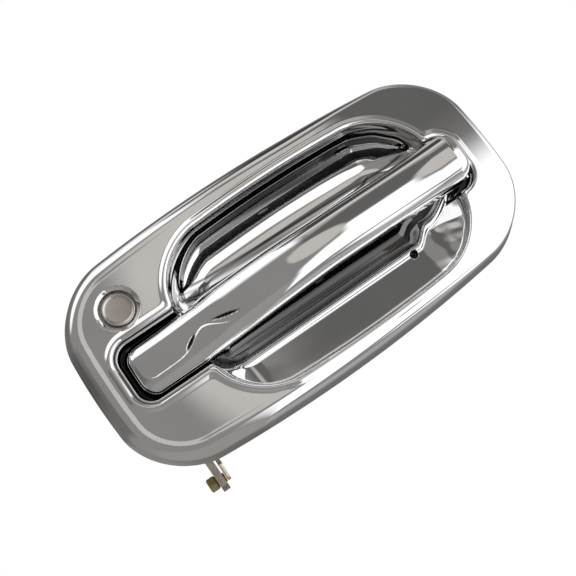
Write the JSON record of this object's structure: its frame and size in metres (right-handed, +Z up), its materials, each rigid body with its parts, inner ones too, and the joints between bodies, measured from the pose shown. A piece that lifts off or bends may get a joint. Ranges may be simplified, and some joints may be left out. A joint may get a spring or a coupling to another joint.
{
  "type": "vehicle door handle",
  "caption": "Chrome outside door handle: a strap grip pivots in a recessed bezel and pulls a bell crank, beside a lock cylinder.",
  "frame": {"origin": "centre of the seal's rear face, which lies on the door skin", "axes": "+X along the grip towards its pivot (towards the front of the vehicle), +Y into the door, +Z up"},
  "size_m": [0.216, 0.0692, 0.118],
  "materials": {
    "chrome_plate": "bright plating",
    "cup_chrome": "bright plating",
    "grip_chrome": "bright plating",
    "cast_zinc": "as cast",
    "foam": "closed-cell foam",
    "zinc_steel": "zinc plated",
    "bumper_rubber": "matt",
    "bright_steel": "ground",
    "spring_steel": "oiled wire",
    "black_plastic": "moulded, fine grain",
    "bush_plastic": "natural acetal",
    "zinc_yellow": "yellow passivated steel",
    "clip_olive": "moulded",
    "lock_brass": "machined",
    "lock_cap": "satin"
  },
  "bodies": {
    "base": {"bezel": "chrome_plate", "recess_cup": "cup_chrome", "rear_frame": "cast_zinc", "door_seal": "foam", "mounting_studs": "zinc_steel", "frame_screws": "zinc_steel", "grip_bumpers": "bumper_rubber", "grip_pivot_pin": "bright_steel", "pivot_pin_clip": "zinc_steel", "grip_spring": "spring_steel", "bell_crank_pin": "bright_steel", "crank_pin_clip": "zinc_steel", "crank_spring": "spring_steel", "lock_barrel": "cast_zinc", "lock_retainer": "spring_steel"},
    "grip": {"grip_shell": "grip_chrome", "grip_carrier": "black_plastic", "grip_screws": "zinc_steel", "pivot_bushes": "bush_plastic"},
    "bell_crank": {"bell_crank": "zinc_yellow", "crank_bush": "bush_plastic"},
    "rod_clip": {"rod_clip": "clip_olive"},
    "lock_plug": {"lock_plug": "lock_brass", "lock_face_cap": "lock_cap", "lock_pawl": "zinc_yellow", "pawl_screw": "zinc_steel"}
  },
  "joints": [
    {"name": "grip_swing", "type": "hinge", "parent": "base", "child": "grip", "pos_m": [0.088, 0.003, -0.0025], "axis": [0, 0, 1], "range_deg": [0, 8], "stiffness_Nm_per_rad": 0.8, "springref_deg": -11.46, "deforming": ["grip_spring"]},
    {"name": "crank_turn", "type": "hinge", "parent": "base", "child": "bell_crank", "pos_m": [-0.082, 0.015, -0.032], "axis": [1, 0, 0], "range_deg": [0, 44], "deforming": ["crank_spring"]},
    {"name": "rod_clip_turn", "type": "hinge", "parent": "bell_crank", "child": "rod_clip", "pos_m": [-0.0872, 0.03, -0.0575], "axis": [1, 0, 0], "range_deg": [-44, 0]},
    {"name": "lock_turn", "type": "hinge", "parent": "base", "child": "lock_plug", "pos_m": [-0.0772, 0, 0.0267], "axis": [0, 1, 0], "range_deg": [-75, 75]}
  ],
  "couplings": [
    {"joint": "crank_turn", "follows": "grip_swing", "ratio": 5.4},
    {"joint": "rod_clip_turn", "follows": "grip_swing", "ratio": -5.4}
  ]
}
